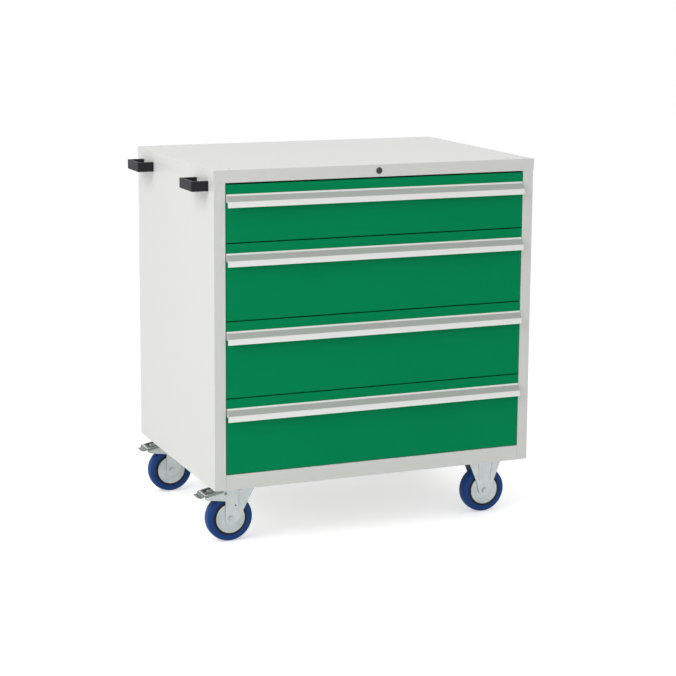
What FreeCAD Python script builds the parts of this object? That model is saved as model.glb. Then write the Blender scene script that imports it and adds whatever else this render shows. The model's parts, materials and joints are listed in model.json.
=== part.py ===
import FreeCAD, Part
import Sketcher
import os
import re

# Mobile steel drawer cabinet on four castors: X to the right, Y to the back, Z up, floor at zero.

sizes = {
    # carcass
    "body_width": 900,
    "body_depth": 650,
    "body_height": 825,
    "sheet": 1.5,
    "cover_skirt": 32,
    "cover_side_skirt": 30,
    "cover_lip": 18,
    "seam": 0.5,
    "rail_height": 40,
    "stile_width": 30,
    "stile_return": 15,
    "rear_flange": 20,
    "tray_upstand": 25,
    "top_hole_radius": 4.5,
    "top_hole_side": 55,
    "top_hole_end": 40,
    # slide uprights and reinforcement channels
    "upright_depth": 27,
    "upright_length": 40,
    "upright_sheet": 1.5,
    "upright_front": 30,
    "upright_back": 40,
    "channel_width": 110,
    "channel_height": 14,
    "channel_sheet": 2,
    # drawers
    "small_units": 3,
    "large_units": 4,
    "top_extra_gap": 3,
    "front_gap": 3,
    "front_side_gap": 2,
    "front_fold": 15,
    "front_return": 25,
    "front_sheet": 1,
    "box_sheet": 1,
    "box_rim": 6,
    "box_back_gap": 35,
    "box_below": 12,
    "box_above": 26,
    # telescopic slides
    "slide_thickness": 13,
    "slide_height": 46,
    "slide_wall": 1.5,
    "slide_end_gap": 43,
    "slide_clear": 0.3,
    "slide_above_box": 14,
    # drawer pull
    "pull_drop": 24,
    "pull_depth": 15,
    "pull_height": 33,
    "pull_flange": 3.5,
    "pull_step": 2,
    "pull_slant_drop": 15.5,
    "pull_wall": 1.8,
    "label_thickness": 0.5,
    "label_margin": 0.07,
    # lock
    "lock_radius": 8.5,
    "lock_drop": 16,
    "lock_depth": 24,
    "lock_proud": 1.2,
    "housing_wall": 2,
    "nut_gap": 1,
    "pivot_clear": 0.08,
    "rod_radius": 3,
    "crank_reach": 7,
    "crank_thickness": 3,
    "crank_pin_radius": 2,
    "bearing_half": 10,
    "guide_height": 20,
    "guide_wall": 6,
    "guide_clear": 0.3,
    "bar_width": 40,
    "bar_sheet": 2,
    "catch_gap": 8,
    "catch_width": 30,
    "catch_height": 12,
    "catch_above_floor": 60,
    "hook_reach": 5,
    "hook_below": 2,
    # push handles
    "push_reach": 45,
    "push_length": 98,
    "push_height": 26,
    "push_wall": 9,
    "push_below_skirt": 0.2,
    "push_spread": 231,
    "push_shift": -3,
    "push_round": 2,
    "screw_radius": 3,
    "screw_head_radius": 6,
    "screw_head_height": 3,
    "screw_length": 22,
    # castors
    "castor_rise": 30,
    "castor_side": 100,
    "castor_end": 73,
    "plate_length": 105,
    "plate_width": 85,
    "plate_thickness": 3.5,
    "bolt_long": 80,
    "bolt_short": 60,
    "bolt_radius": 4,
    "bolt_hole_radius": 4.5,
    "bolt_head_radius": 6.5,
    "bolt_head_height": 5,
    "bolt_length": 18,
    "trail": 38.5,
    "race_radius": 29,
    "race_height": 6,
    "race_clear": 0.5,
    "king_radius": 6,
    "king_head_radius": 10,
    "king_head_height": 4,
    "fork_sheet": 2.5,
    "fork_half_width": 19.5,
    "fork_round": 15,
    "wheel_radius": 62.5,
    "wheel_width": 34,
    "tyre_inner": 45.5,
    "tyre_round": 9,
    "rim_inner": 41,
    "rim_width": 28,
    "core_web": 8,
    "hub_radius": 14,
    "axle_radius": 5,
    "axle_head_radius": 7.5,
    "axle_head_height": 5,
    "guard_radius": 40,
    "guard_sheet": 1.5,
    "guard_clear": 0.4,
    # brake pedal
    "pedal_back": 53,
    "pedal_below_body": 24,
    "pedal_half_width": 28,
    "pedal_sheet": 2.5,
    "pedal_pin_radius": 2.5,
    "pedal_arm_half_width": 15,
}

derived = {
    "middle_x": "(push_reach - sheet) / 2",
    "middle_y": "pull_depth / 2",
    "side_x": "body_width / 2",
    "front_y": "-body_depth / 2",
    "back_y": "body_depth / 2",
    "castor_height": "2 * wheel_radius + castor_rise",
    "bottom_z": "castor_height",
    "top_z": "castor_height + body_height",
    "skirt_z": "top_z - cover_skirt",
    "floor_z": "bottom_z + sheet",
    "opening_z": "bottom_z + rail_height",
    "opening_x": "side_x - stile_width",
    "top_hole_x": "side_x - top_hole_side",
    "top_hole_y": "back_y - top_hole_end",
    "upright_x": "side_x - sheet - upright_depth",
    "upright_top_z": "skirt_z - 8",
    "castor_x": "side_x - castor_side",
    "castor_y": "back_y - castor_end",
    # drawer sizes: one small at the top, three large below it
    "front_half": "opening_x - front_side_gap",
    "drawer_unit": "(skirt_z - opening_z - top_extra_gap) / (small_units + 3 * large_units)",
    "large_pitch": "large_units * drawer_unit",
    "small_pitch": "small_units * drawer_unit",
    "large_front": "large_pitch - front_gap",
    "small_front": "small_pitch - front_gap",
    "box_half": "upright_x - slide_thickness",
    "box_front_y": "front_y + front_fold",
    "box_back_y": "back_y - box_back_gap",
    "drawer_1_z": "opening_z + 3 * large_pitch + front_gap / 2",
    "drawer_2_z": "opening_z + 2 * large_pitch + front_gap / 2",
    "drawer_3_z": "opening_z + large_pitch + front_gap / 2",
    "drawer_4_z": "opening_z + front_gap / 2",
    # slide section, measured outwards from the box side
    "slide_low": "box_below + slide_above_box",
    "slide_high": "slide_low + slide_height",
    "mid_low": "slide_low + slide_wall + slide_clear",
    "mid_high": "slide_high - slide_wall - slide_clear",
    "inner_low": "mid_low + slide_wall + slide_clear",
    "inner_high": "mid_high - slide_wall - slide_clear",
    "slide_out": "box_half + slide_thickness",
    "mid_out": "slide_out - slide_wall - slide_clear",
    "slide_front_y": "box_front_y + 2",
    "slide_back_y": "back_y - slide_end_gap",
    "slide_length": "slide_back_y - slide_front_y",
    # pull section: out is distance from the drawer face, down is below the pull's top
    "slant_low": "-pull_flange - pull_slant_drop",
    "slant_run": "pull_depth - pull_step",
    "slant_length": "sqrt(slant_run ^ 2 + pull_slant_drop ^ 2)",
    "normal_out": "pull_slant_drop / slant_length * label_thickness",
    "normal_up": "slant_run / slant_length * label_thickness",
    # lock and bar
    "lock_z": "top_z - lock_drop",
    "nut_radius": "lock_drop - sheet - nut_gap",
    "rod_front_y": "front_y + lock_depth",
    "bar_y": "box_back_y + catch_gap + 4",
    "rod_back_y": "bar_y + bar_sheet + 0.6",
    "bar_top_z": "lock_z + 6.5",
    "bar_low_z": "drawer_4_z + box_below + 40",
    # castor heights, relative to the floor
    "plate_z": "castor_height - plate_thickness",
    "race_z": "plate_z - race_height",
    "fork_top_z": "race_z - race_clear",
    "fork_out": "fork_half_width + fork_sheet",
    "hub_half": "wheel_width / 2",
    "guard_in": "hub_half + guard_clear",
    "guard_out": "guard_in + guard_sheet",
    "wheel_bore": "axle_radius + pivot_clear",
    "king_z": "fork_top_z - fork_sheet - 1.6",
    "pedal_x": "-pedal_back",
    "pedal_z": "castor_height - pedal_below_body",
    "horn_z": "castor_height - 34",
    "push_z": "top_z - cover_side_skirt - push_below_skirt - push_height / 2",
    "catch_low": "box_below + catch_above_floor",
}

doc = FreeCAD.newDocument("DrawerCabinet")
sheet = doc.addObject("Spreadsheet::Sheet", "Sizes")
for row, (name, value) in enumerate({**sizes, **derived}.items(), start=1):
    sheet.set(f"A{row}", name)
    sheet.set(f"B{row}", f"={value}" if name in derived else str(value))
    sheet.setAlias(f"B{row}", name)
doc.recompute()

functions = ("sqrt",)
nodes = []


def link(text):
    # turns plain size names into spreadsheet references
    return re.sub(r"[a-z][a-z0-9_]*", lambda m: m[0] if m[0] in functions else "Sizes." + m[0], text)


def number(text):
    return float(sheet.evalExpression(link(text)))


def start(name, x="0", y="0", z="0"):
    # a new node; its drawing is shifted from the cabinet's middle at floor level by x, y, z
    body = doc.addObject("PartDesign::Body", name)
    body.Label = name
    body.setExpression("Placement.Base.x", link(f"middle_x + {x}"))
    body.setExpression("Placement.Base.y", link(f"middle_y + {y}"))
    body.setExpression("Placement.Base.z", link(f"0 + {z}"))
    nodes.append(body)
    return body


def sketch_on(body, plane, level="0"):
    # plane XY looks along Z, XZ along -Y and YZ along X; level is the offset along that direction
    sketch = body.newObject("Sketcher::SketchObject", f"{body.Name}_sketch")
    origin = [f for f in body.Origin.OriginFeatures if f.Role == plane + "_Plane"][0]
    sketch.AttachmentSupport = [(origin, "")]
    sketch.MapMode = "FlatFace"
    sketch.setExpression("AttachmentOffset.Base.z", link(level))
    return sketch


def loop(sketch, points):
    # closed outline with every corner tied to the sizes
    count = len(points)
    first = sketch.GeometryCount
    places = [FreeCAD.Vector(number(a), number(b), 0) for a, b in points]
    for i in range(count):
        sketch.addGeometry(Part.LineSegment(places[i], places[(i + 1) % count]), False)
    for i in range(count):
        sketch.addConstraint(Sketcher.Constraint("Coincident", first + i, 2, first + (i + 1) % count, 1))
    for i, (a, b) in enumerate(points):
        for kind, text, value in (("DistanceX", a, places[i].x), ("DistanceY", b, places[i].y)):
            index = sketch.addConstraint(Sketcher.Constraint(kind, -1, 1, first + i, 1, value))
            sketch.setExpression(f"Constraints[{index}]", link(text))


def rectangle(sketch, x0, x1, y0, y1):
    loop(sketch, [(x0, y0), (x1, y0), (x1, y1), (x0, y1)])


def circle(sketch, x, y, radius):
    centre = FreeCAD.Vector(number(x), number(y), 0)
    first = sketch.addGeometry(Part.Circle(centre, FreeCAD.Vector(0, 0, 1), number(radius)), False)
    rules = (
        (Sketcher.Constraint("DistanceX", -1, 1, first, 3, centre.x), x),
        (Sketcher.Constraint("DistanceY", -1, 1, first, 3, centre.y), y),
        (Sketcher.Constraint("Radius", first, number(radius)), radius),
    )
    for rule, text in rules:
        index = sketch.addConstraint(rule)
        sketch.setExpression(f"Constraints[{index}]", link(text))


def pad(sketch, length, middle=False):
    feature = sketch.getParentGeoFeatureGroup().newObject("PartDesign::Pad", "pad")
    feature.Profile = sketch
    feature.setExpression("Length", link(length))
    feature.Midplane = middle
    return feature


def cut(sketch, length):
    # removes material on both sides of the sketch, half the length each way
    feature = sketch.getParentGeoFeatureGroup().newObject("PartDesign::Pocket", "cut")
    feature.Profile = sketch
    feature.setExpression("Length", link(length))
    feature.Midplane = True
    return feature


def turn(sketch, axis):
    feature = sketch.getParentGeoFeatureGroup().newObject("PartDesign::Revolution", "turn")
    feature.Profile = sketch
    feature.ReferenceAxis = (sketch, [axis])
    feature.Angle = 360
    return feature


def block(body, x0, x1, y0, y1, z0, z1):
    sketch = sketch_on(body, "XY", z0)
    rectangle(sketch, x0, x1, y0, y1)
    pad(sketch, f"({z1}) - ({z0})")


def hollow(body, x0, x1, y0, y1, z0, z1):
    sketch = sketch_on(body, "XY", f"(({z0}) + ({z1})) / 2")
    rectangle(sketch, x0, x1, y0, y1)
    cut(sketch, f"({z1}) - ({z0})")


def rounded(body, radius, wanted):
    # fillets the edges that the test picks out
    doc.recompute()
    tip = body.Tip
    edges = [f"Edge{i}" for i, edge in enumerate(tip.Shape.Edges, start=1) if wanted(edge)]
    feature = body.newObject("PartDesign::Fillet", "rounding")
    feature.Base = (tip, edges)
    feature.setExpression("Radius", link(radius))


def top_cover():
    body = start("top_cover")
    block(body, "-side_x - sheet", "side_x + sheet", "front_y", "back_y", "top_z - sheet", "top_z")
    for side in ("-1", "1"):
        block(body, f"{side} * side_x", f"{side} * (side_x + sheet)", "front_y", "back_y",
              "top_z - cover_side_skirt", "top_z - sheet")
    block(body, "-side_x", "side_x", "front_y", "front_y + sheet", "skirt_z", "top_z - sheet")
    block(body, "-side_x", "side_x", "back_y - sheet", "back_y", "skirt_z", "top_z - sheet")
    block(body, "-opening_x", "opening_x", "front_y + sheet", "front_y + cover_lip",
          "skirt_z", "skirt_z + sheet")
    holes = sketch_on(body, "XY", "top_z")
    for x in ("-top_hole_x", "top_hole_x"):
        for y in ("-top_hole_y", "top_hole_y"):
            circle(holes, x, y, "top_hole_radius")
    cut(holes, "sheet * 4")
    lock = sketch_on(body, "XZ", "-front_y")
    circle(lock, "0", "lock_z", "lock_radius + pivot_clear")
    cut(lock, "sheet * 4")


def side_panel(name, side):
    body = start(name)
    sketch = sketch_on(body, "XY", "bottom_z")
    outline = [
        ("side_x", "front_y"), ("opening_x", "front_y"), ("opening_x", "front_y + stile_return"),
        ("opening_x + sheet", "front_y + stile_return"), ("opening_x + sheet", "front_y + sheet"),
        ("side_x - sheet", "front_y + sheet"), ("side_x - sheet", "back_y - sheet"),
        ("side_x - rear_flange", "back_y - sheet"), ("side_x - rear_flange", "back_y"), ("side_x", "back_y"),
    ]
    loop(sketch, [(f"{side} * ({x})", y) for x, y in outline])
    pad(sketch, "skirt_z - bottom_z")
    block(body, f"{side} * (side_x - sheet)", f"{side} * side_x", "front_y + sheet", "back_y - sheet",
          "skirt_z", "top_z - sheet")
    if side == "-1":
        screws = sketch_on(body, "YZ", "-side_x")
        for y in screw_places():
            circle(screws, y, "push_z", "screw_radius + pivot_clear")
        cut(screws, "sheet * 4")


def screw_places():
    # one screw in the middle of each leg of each push handle
    places = []
    for side in ("-1", "1"):
        for end in ("-1", "1"):
            places.append(f"push_shift + {side} * push_spread + {end} * (push_length - push_wall) / 2")
    return places


def back_panel():
    body = start("back_panel")
    block(body, "-side_x + sheet", "side_x - sheet", "back_y - 2 * sheet", "back_y - sheet",
          "floor_z", "top_z - sheet")
    # bearing for the end of the lock rod
    block(body, "-bearing_half", "bearing_half", "rod_back_y + crank_thickness + 0.5", "back_y - 2 * sheet",
          "lock_z - bearing_half", "lock_z + bearing_half")
    bore = sketch_on(body, "XZ", "-rod_back_y - crank_thickness - 4")
    circle(bore, "0", "lock_z", "rod_radius + pivot_clear")
    cut(bore, "16")
    # guides that keep the locking bar upright
    inner, outer = "bar_width / 2 + guide_clear", "bar_width / 2 + guide_clear + guide_wall"
    for z in ("bar_low_z + 3 * guide_height", "bar_top_z - 6 * guide_height"):
        block(body, f"-({outer})", outer, "bar_y + bar_sheet + guide_clear", "back_y - 2 * sheet",
              z, f"{z} + guide_height")
        for side in ("-1", "1"):
            block(body, f"{side} * ({inner})", f"{side} * ({outer})", "bar_y - 1",
                  "bar_y + bar_sheet + guide_clear", z, f"{z} + guide_height")


def base_tray():
    body = start("base_tray")
    inner = "side_x - sheet"
    floor = sketch_on(body, "XY", "bottom_z")
    loop(floor, [
        ("-opening_x + seam", "front_y"), ("opening_x - seam", "front_y"),
        ("opening_x - seam", "front_y + stile_return"), (inner, "front_y + stile_return"), (inner, "back_y - sheet"), (f"-({inner})", "back_y - sheet"),
        (f"-({inner})", "front_y + stile_return"), ("-opening_x + seam", "front_y + stile_return"),
    ])
    pad(floor, "sheet")
    ends = ("-opening_x + seam", "opening_x - seam")
    block(body, *ends, "front_y", "front_y + sheet", "floor_z", "opening_z")
    block(body, *ends, "front_y + sheet", "front_y + stile_return", "opening_z - sheet", "opening_z")
    for side in ("-1", "1"):
        block(body, f"{side} * (side_x - 2 * sheet)", f"{side} * (side_x - sheet)",
              "front_y + stile_return", "back_y - 2 * sheet", "floor_z", "floor_z + tray_upstand")
    bolt_holes(body, "castor_x", "castor_y", "bottom_z")


def bolt_holes(body, x, y, level):
    holes = sketch_on(body, "XY", level)
    for side in ("-1", "1"):
        for end in ("-1", "1"):
            for dx in ("-1", "1"):
                for dy in ("-1", "1"):
                    circle(holes, f"{side} * ({x}) + {dx} * bolt_long / 2",
                           f"{end} * ({y}) + {dy} * bolt_short / 2", "bolt_hole_radius")
    cut(holes, "channel_sheet * 6")


def castor_channels():
    body = start("castor_channels")
    for side in ("-1", "1"):
        low = f"{side} * castor_x - channel_width / 2"
        high = f"{side} * castor_x + channel_width / 2"
        ends = ("front_y + 3 * stile_return", "back_y - 3 * stile_return")
        block(body, low, high, *ends, "floor_z", "floor_z + channel_sheet")
        for x in (low, f"{high} - channel_sheet"):
            block(body, x, f"{x} + channel_sheet", *ends, "floor_z + channel_sheet", "floor_z + channel_height")
    bolt_holes(body, "castor_x", "castor_y", "floor_z")


def slide_uprights():
    body = start("slide_uprights")
    for side in ("-1", "1"):
        for y in ("front_y + upright_front", "back_y - upright_back - upright_length"):
            sketch = sketch_on(body, "XY", "floor_z + tray_upstand")
            loop(sketch, [
                (f"{side} * ({x})", f"{y} + {dy}") for x, dy in (
                    ("upright_x", "0"), ("upright_x", "upright_length"),
                    ("side_x - sheet", "upright_length"), ("side_x - sheet", "upright_length - upright_sheet"),
                    ("upright_x + upright_sheet", "upright_length - upright_sheet"),
                    ("upright_x + upright_sheet", "upright_sheet"),
                    ("side_x - sheet", "upright_sheet"), ("side_x - sheet", "0"))
            ])
            pad(sketch, "upright_top_z - floor_z - tray_upstand")


def slide_sections(body, kind, z="0"):
    # one section on each side, seen from the front and drawn from the cabinet's middle outwards
    for side in ("-1", "1"):
        sketch = sketch_on(body, "XZ", "-slide_front_y")
        low, high, wall = "slide_low", "slide_high", "slide_wall"
        if kind == "outer":
            shape = [
                ("slide_out", low), ("slide_out", high), ("slide_out - 10.5", high),
                ("slide_out - 10.5", f"{high} - {wall}"), (f"slide_out - {wall}", f"{high} - {wall}"),
                (f"slide_out - {wall}", f"{low} + {wall}"), ("slide_out - 10.5", f"{low} + {wall}"),
                ("slide_out - 10.5", low),
            ]
        elif kind == "middle":
            low, high = "mid_low", "mid_high"
            shape = [
                ("mid_out", low), ("mid_out", high), ("mid_out - 8.6", high),
                ("mid_out - 8.6", f"{high} - {wall}"), (f"mid_out - {wall}", f"{high} - {wall}"),
                (f"mid_out - {wall}", f"{low} + {wall}"), ("mid_out - 8.6", f"{low} + {wall}"),
                ("mid_out - 8.6", low),
            ]
        else:
            low, high = "inner_low", "inner_high"
            shape = [
                ("box_half", low), ("box_half", high), ("box_half + 8.6", high),
                ("box_half + 8.6", f"{high} - {wall}"), (f"box_half + {wall}", f"{high} - {wall}"),
                (f"box_half + {wall}", f"{low} + {wall}"), ("box_half + 8.6", f"{low} + {wall}"),
                ("box_half + 8.6", low),
            ]
        loop(sketch, [(f"{side} * ({x})", f"{z} + {y}") for x, y in shape])
        reversed_pad = pad(sketch, "slide_length")
        reversed_pad.Reversed = True


def cabinet_runners():
    body = start("cabinet_runners")
    for index in (1, 2, 3, 4):
        slide_sections(body, "outer", f"drawer_{index}_z")


def drawer(index):
    height = "small_front" if index == 1 else "large_front"
    level = f"drawer_{index}_z"
    name = f"drawer_{index}"
    fold = "front_fold"

    front = start(f"{name}_front", z=level)
    block(front, "-front_half", "front_half", "front_y", f"front_y + {fold}", "0", height)
    hollow(front, "-front_half + front_sheet", "front_half - front_sheet",
           "front_y + front_sheet", f"front_y + {fold} - front_sheet", "front_sheet", f"{height} - front_sheet")
    hollow(front, "-front_half + front_return", "front_half - front_return",
           "front_y + front_sheet", f"front_y + {fold} + 1", "front_return", f"{height} - front_return")

    box = start(f"{name}_box", z=level)
    top = f"{height} - box_above"
    floor = sketch_on(box, "XY", "box_below")
    rectangle(floor, "-box_half", "box_half", "box_front_y", "box_back_y")
    pad(floor, "box_sheet")
    for z0, z1, wall in (("box_below + box_sheet", f"{top} - box_sheet", "box_sheet"),
                         (f"{top} - box_sheet", top, "box_rim")):
        ring = sketch_on(box, "XY", z0)
        rectangle(ring, "-box_half", "box_half", "box_front_y", "box_back_y")
        rectangle(ring, f"-box_half + {wall}", f"box_half - {wall}",
                  f"box_front_y + {wall}", f"box_back_y - {wall}")
        pad(ring, f"({z1}) - ({z0})")
    # catch on the back that the locking bar's hook rises behind
    block(box, "-catch_width / 2", "catch_width / 2", "box_back_y", "box_back_y + catch_gap",
          "catch_low + catch_height - box_sheet", "catch_low + catch_height")
    block(box, "-catch_width / 2", "catch_width / 2", "box_back_y + catch_gap - box_sheet",
          "box_back_y + catch_gap", "catch_low", "catch_low + catch_height - box_sheet")

    pull = start(f"{name}_handle", z=f"{level} + {height} - pull_drop")
    section = sketch_on(pull, "YZ")
    loop(section, [
        (f"front_y - ({out})", up) for out, up in (
            ("0", "0"), ("pull_step", "0"), ("pull_step", "-pull_flange"), ("pull_depth", "slant_low"),
            ("pull_depth", "-pull_height"), ("pull_depth - pull_wall", "-pull_height"),
            ("pull_depth - pull_wall", "slant_low - pull_wall"), ("0", "slant_low - pull_wall"))
    ])
    loop(section, [
        (f"front_y - ({out})", up) for out, up in (
            ("pull_wall", "-pull_flange - 2 * pull_wall"), ("pull_depth - 2.4 * pull_wall", "slant_low"),
            ("pull_wall", "slant_low"))
    ])
    pad(section, "2 * front_half", middle=True)

    label = start(f"{name}_label_strip", z=f"{level} + {height} - pull_drop")
    strip = sketch_on(label, "YZ")
    near = ("pull_step + slant_run * label_margin", "-pull_flange - pull_slant_drop * label_margin")
    far = ("pull_depth - slant_run * label_margin", "slant_low + pull_slant_drop * label_margin")
    loop(strip, [
        (f"front_y - ({near[0]})", near[1]), (f"front_y - ({far[0]})", far[1]),
        (f"front_y - ({far[0]}) - normal_out", f"{far[1]} + normal_up"),
        (f"front_y - ({near[0]}) - normal_out", f"{near[1]} + normal_up"),
    ])
    pad(strip, "2 * front_half - 0.6", middle=True)

    runners = start(f"{name}_runners", z=level)
    slide_sections(runners, "inner")
    middles = start(f"{name}_mid_runners", z=level)
    slide_sections(middles, "middle")


def lock():
    housing = start("lock_housing")
    ring = sketch_on(housing, "XZ", "-front_y - lock_depth")
    circle(ring, "0", "lock_z", "lock_radius + housing_wall")
    circle(ring, "0", "lock_z", "lock_radius + pivot_clear")
    pad(ring, "lock_depth - sheet")
    nut = sketch_on(housing, "XZ", "-front_y - sheet - 4")
    circle(nut, "0", "lock_z", "nut_radius")
    circle(nut, "0", "lock_z", "lock_radius + housing_wall / 2")
    pad(nut, "4")

    barrel = start("lock_barrel")
    core = sketch_on(barrel, "XZ", "-front_y - lock_depth")
    circle(core, "0", "lock_z", "lock_radius")
    pad(core, "lock_depth + lock_proud")
    slot = sketch_on(barrel, "XZ", "-front_y + lock_proud")
    rectangle(slot, "-0.9", "0.9", "lock_z - 4.5", "lock_z + 4.5")
    cut(slot, "16")

    rod = start("lock_rod")
    shaft = sketch_on(rod, "XZ", "-rod_back_y - crank_thickness - bearing_half")
    circle(shaft, "0", "lock_z", "rod_radius")
    pad(shaft, "rod_back_y + crank_thickness + bearing_half - rod_front_y")
    crank = sketch_on(rod, "XZ", "-rod_back_y - crank_thickness")
    rectangle(crank, "-4", "crank_reach + 4", "lock_z - 4", "lock_z + 4")
    pad(crank, "crank_thickness")
    pin = sketch_on(rod, "XZ", "-rod_back_y")
    circle(pin, "crank_reach", "lock_z", "crank_pin_radius")
    pad(pin, "bar_sheet + 1.6")

    bar = start("locking_bar")
    strip = sketch_on(bar, "XZ", "-bar_y - bar_sheet")
    rectangle(strip, "-bar_width / 2", "bar_width / 2", "bar_low_z", "bar_top_z")
    # the rod passes through the tall part of this slot and its crank pin works in the wide part
    loop(strip, [
        ("-rod_radius - 0.6", "lock_z - rod_radius - crank_reach - 1"),
        ("rod_radius + 0.6", "lock_z - rod_radius - crank_reach - 1"),
        ("rod_radius + 0.6", "lock_z - crank_pin_radius - 0.4"),
        ("crank_reach + crank_pin_radius + 0.6", "lock_z - crank_pin_radius - 0.4"),
        ("crank_reach + crank_pin_radius + 0.6", "lock_z + 2 * crank_pin_radius"),
        ("-rod_radius - 0.6", "lock_z + 2 * crank_pin_radius"),
    ])
    pad(strip, "bar_sheet")
    for index in (1, 2, 3, 4):
        foot = f"drawer_{index}_z + catch_low"
        hook_z = f"{foot} - hook_below - crank_reach"
        near = "box_back_y + catch_gap - hook_reach"
        block(bar, "-bar_width / 4", "bar_width / 4", near, "bar_y", f"{hook_z} - bar_sheet", hook_z)
        block(bar, "-bar_width / 4", "bar_width / 4", near, f"{near} + sheet", hook_z, f"{foot} - hook_below")


def push_handle(name, side):
    body = start(name, y=f"push_shift + {side} * push_spread")
    sketch = sketch_on(body, "XY", "push_z - push_height / 2")
    reach, half, wall = "side_x + push_reach", "push_length / 2", "push_wall"
    loop(sketch, [
        ("-side_x", f"-{half}"), (f"-({reach})", f"-{half}"), (f"-({reach})", half), ("-side_x", half),
        ("-side_x", f"{half} - {wall}"), (f"-({reach}) + {wall}", f"{half} - {wall}"),
        (f"-({reach}) + {wall}", f"-{half} + {wall}"), ("-side_x", f"-{half} + {wall}"),
    ])
    pad(sketch, "push_height")
    outer = number(f"-({reach})")
    rounded(body, "push_round", lambda e: e.BoundBox.ZLength > 1 and abs(e.BoundBox.XMin - outer) < 0.01)
    rounded(body, "push_round / 3", lambda e: e.BoundBox.ZLength < 0.01 and e.BoundBox.XMin < outer + 0.01
            and e.BoundBox.XMax < outer + 0.01)
    bores = sketch_on(body, "YZ", "-side_x - screw_length / 2 + sheet / 2 + 0.5")
    for end in ("-1", "1"):
        circle(bores, f"{end} * (push_length - push_wall) / 2", "push_z", "screw_radius + pivot_clear")
    cut(bores, "screw_length + 1")


def handle_screws():
    body = start("handle_screws")
    for y in screw_places():
        head = sketch_on(body, "YZ", "-side_x + sheet")
        circle(head, y, "push_z", "screw_head_radius")
        pad(head, "screw_head_height")
        shank = sketch_on(body, "YZ", "-side_x + sheet - screw_length")
        circle(shank, y, "push_z", "screw_radius")
        pad(shank, "screw_length")


def corners():
    return [(f"{side} * castor_x", f"{end} * castor_y") for side in ("-1", "1") for end in ("-1", "1")]


def plate(body, x, y):
    block(body, f"{x} - plate_length / 2", f"{x} + plate_length / 2",
          f"{y} - plate_width / 2", f"{y} + plate_width / 2", "plate_z", "castor_height")
    holes = sketch_on(body, "XY", "plate_z")
    for dx in ("-1", "1"):
        for dy in ("-1", "1"):
            circle(holes, f"{x} + {dx} * bolt_long / 2", f"{y} + {dy} * bolt_short / 2", "bolt_hole_radius")
    cut(holes, "plate_thickness * 4")


def swivel_castor_plates():
    body = start("swivel_castor_plates")
    for x, y in corners()[:2]:
        plate(body, x, y)
        race = sketch_on(body, "XY", "race_z")
        circle(race, x, y, "race_radius")
        pad(race, "race_height")
        pin = sketch_on(body, "XY", "king_z")
        circle(pin, x, y, "king_radius")
        pad(pin, "race_z - king_z")
        head = sketch_on(body, "XY", "king_z - king_head_height")
        circle(head, x, y, "king_head_radius")
        pad(head, "king_head_height")


def castor_bolts():
    body = start("castor_bolts")
    for x, y in corners():
        for dx in ("-1", "1"):
            for dy in ("-1", "1"):
                bx = f"{x} + {dx} * bolt_long / 2"
                by = f"{y} + {dy} * bolt_short / 2"
                for low, high, radius in (
                        ("plate_z - bolt_head_height", "plate_z", "bolt_head_radius"),
                        ("plate_z", "plate_z + bolt_length", "bolt_radius")):
                    part = sketch_on(body, "XY", low)
                    circle(part, bx, by, radius)
                    pad(part, f"({high}) - ({low})")
                nut = sketch_on(body, "XY", "floor_z + channel_sheet")
                circle(nut, bx, by, "bolt_head_radius")
                pad(nut, "bolt_head_height + 1")


def cheek(body, x, y, side, outline):
    # one leg of a fork, with a round foot about the axle
    level = f"-({y}) - fork_out" if side == "1" else f"-({y}) + fork_half_width"
    leg = sketch_on(body, "XZ", level)
    loop(leg, [(f"{x} + ({dx})", z) for dx, z in outline])
    pad(leg, "fork_sheet")
    foot = sketch_on(body, "XZ", level)
    circle(foot, x, "wheel_radius", "fork_round")
    pad(foot, "fork_sheet")


def axle_hole(body, x, y):
    hole = sketch_on(body, "XZ", f"-({y})")
    circle(hole, x, "wheel_radius", "axle_radius + pivot_clear")
    cut(hole, "4 * fork_out")


def swivel_castor(name, end):
    x, y = "0", "0"
    place = {"x": "-castor_x", "y": f"{end} * castor_y"}
    wheel = "-trail"
    fork = start(f"{name}_fork", **place)
    for side in ("-1", "1"):
        cheek(fork, wheel, y, side, [
            ("-fork_round", "wheel_radius"), ("-fork_round", "horn_z - 10"), ("-65", "horn_z - 3"),
            ("-71", "horn_z"), ("-71.5", "horn_z + 5"), ("-8", "fork_top_z - 3"), ("-8", "fork_top_z"),
            ("66", "fork_top_z"), ("66", "fork_top_z - 3"), ("33.5", "wheel_radius + 20"),
            ("12.5", "wheel_radius - 8")])
    block(fork, "-44", "27.5", "-fork_half_width", "fork_half_width", "fork_top_z - fork_sheet - 1", "fork_top_z")
    king = sketch_on(fork, "XY", "fork_top_z")
    circle(king, "0", "0", "king_radius + pivot_clear")
    cut(king, "12")
    axle_hole(fork, wheel, y)
    pivots = sketch_on(fork, "XZ", "0")
    circle(pivots, "pedal_x", "pedal_z", "pedal_pin_radius + pivot_clear")
    cut(pivots, "4 * fork_out")

    axle_parts(start(f"{name}_axle", **place), wheel, y)
    guards(start(f"{name}_guards", **place), wheel, y)
    wheel_parts(name, place, wheel)
    brake_pedal(name, place)


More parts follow.
